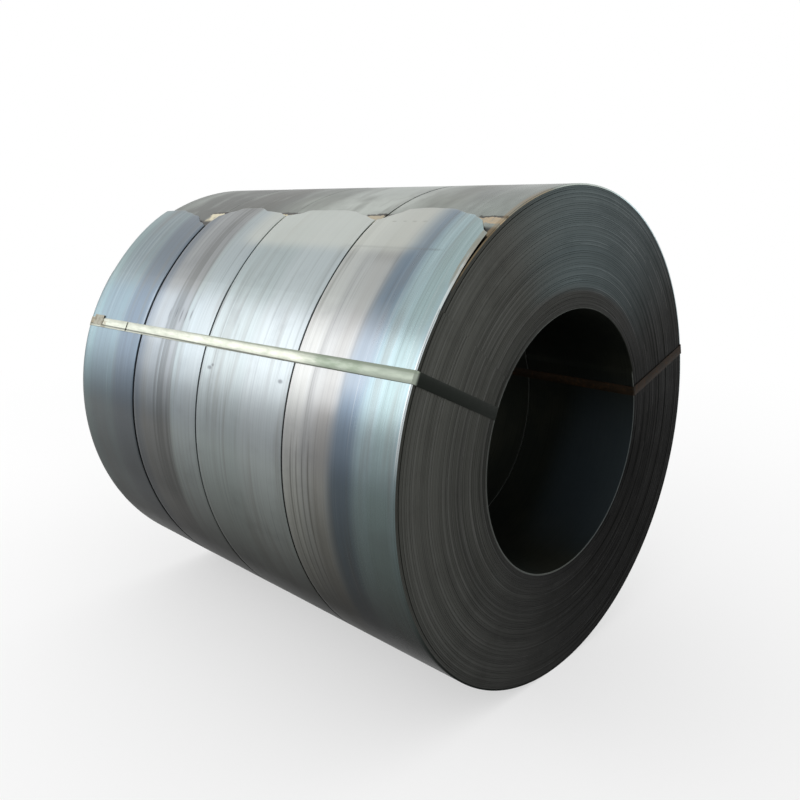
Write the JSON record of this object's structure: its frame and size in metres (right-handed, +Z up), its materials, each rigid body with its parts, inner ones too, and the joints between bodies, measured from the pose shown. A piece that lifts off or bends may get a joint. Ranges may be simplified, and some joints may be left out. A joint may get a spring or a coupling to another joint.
{
  "type": "slit steel coil bundle",
  "caption": "Wide coil of hot-rolled steel strip lying on its side, slit into narrower strips that are banded together through the open eye with flat steel strapping.",
  "frame": {"origin": "on the floor under the middle of the bundle", "axes": "+X along the coil axis, away from the end where the strapping is doubled under its seals, +Z up, -Y on the side with the loose strip tails"},
  "size_m": [1.503, 1.4318, 1.4288],
  "materials": {
    "strip_steel": "hot-rolled, blue-grey mill scale worn to a satin sheen",
    "strap_steel": "zinc-coated strapping, dull",
    "strap_steel_rusty": "strapping with light rust",
    "seal_steel": "pressed seal, dull and stained"
  },
  "bodies": {
    "root": {"slit_coil_1": "strip_steel", "slit_coil_2": "strip_steel", "slit_coil_3": "strip_steel", "slit_coil_4": "strip_steel", "eye_strap_near": "strap_steel", "eye_strap_far": "strap_steel_rusty", "strap_seal_near": "seal_steel", "strap_seal_far": "seal_steel"}
  },
  "joints": []
}
